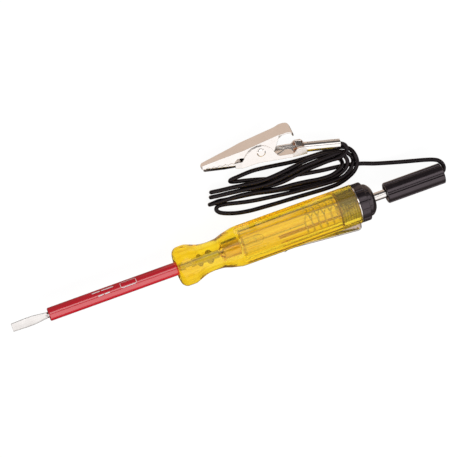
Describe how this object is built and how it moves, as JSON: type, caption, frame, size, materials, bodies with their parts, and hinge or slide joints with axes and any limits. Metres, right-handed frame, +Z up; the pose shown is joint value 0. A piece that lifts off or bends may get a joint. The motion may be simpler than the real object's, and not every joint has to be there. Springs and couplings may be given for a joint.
{
  "type": "circuit test light",
  "caption": "Automotive circuit tester: flat-tipped probe with a lamp in a clear amber handle, screw-off end cap, plug-in lead and crocodile clip.",
  "frame": {"origin": "on the tool's axis, level with the front rim of the handle's guard, inside the red sleeve", "axes": "+X along the tool's axis towards the cord end, +Z up from the table it lies on, +Y towards the folded lead"},
  "size_m": [0.1681, 0.047, 0.0156],
  "materials": {
    "amber_plastic": "clear, polished",
    "red_plastic": "gloss",
    "plated_steel": "nickel plate",
    "spring_steel": "drawn wire",
    "brass": "satin",
    "lamp_glass": "clear",
    "lamp_black_glass": "gloss",
    "lamp_wire": "drawn wire",
    "solder": "satin",
    "black_plastic": "semi-gloss",
    "black_wire": "soft vinyl",
    "copper": "bare strands",
    "clip_nickel": "nickel plate"
  },
  "bodies": {
    "probe": {"handle": "amber_plastic", "sleeve": "red_plastic", "blade": "plated_steel", "pocket_clip": "plated_steel", "lamp_base": "brass", "lamp_contact": "solder", "lamp_insulator": "lamp_black_glass", "lamp_glass": "lamp_glass", "lamp_stem": "lamp_glass", "lamp_supports": "lamp_wire", "lamp_filament": "lamp_wire"},
    "contact_train": {"contact_spring": "spring_steel"},
    "cap_unit": {"end_cap": "black_plastic", "cap_contact": "brass", "plug_pin": "plated_steel"},
    "lead": {"socket_contact": "brass", "conductor_plug_end": "copper", "cable": "black_wire", "conductor_clip_end": "copper", "clip_lower_jaw": "clip_nickel", "clip_rivet": "clip_nickel", "clip_spring": "spring_steel"},
    "plug_shell": {"socket_shell": "black_plastic"},
    "clip_lever": {"clip_upper_jaw": "clip_nickel"}
  },
  "joints": [
    {"name": "cap_travel", "type": "slide", "parent": "probe", "child": "contact_train", "axis": [1, 0, 0], "range_m": [0, 0.007], "deforming": ["contact_spring"]},
    {"name": "cap_turn", "type": "hinge", "parent": "contact_train", "child": "cap_unit", "pos_m": [0.0698, 0, 0], "axis": [1, 0, 0], "range_deg": [0, 2524]},
    {"name": "plug_pull", "type": "slide", "parent": "contact_train", "child": "lead", "axis": [1, 0, 0], "range_m": [-0.0004, 0.016]},
    {"name": "shell_swivel", "type": "hinge", "parent": "lead", "child": "plug_shell", "pos_m": [0.092, 0, 0], "axis": [1, 0, 0], "continuous": true},
    {"name": "clip_jaw", "type": "hinge", "parent": "lead", "child": "clip_lever", "pos_m": [0.04285, 0.03114, -0.00179], "axis": [0.0755, 0.4634, -0.8829], "range_deg": [0, 21], "stiffness_Nm_per_rad": 0.02, "deforming": ["clip_spring"]}
  ],
  "couplings": [
    {"joint": "cap_turn", "follows": "cap_travel", "rad_per_m": 6283.2}
  ]
}
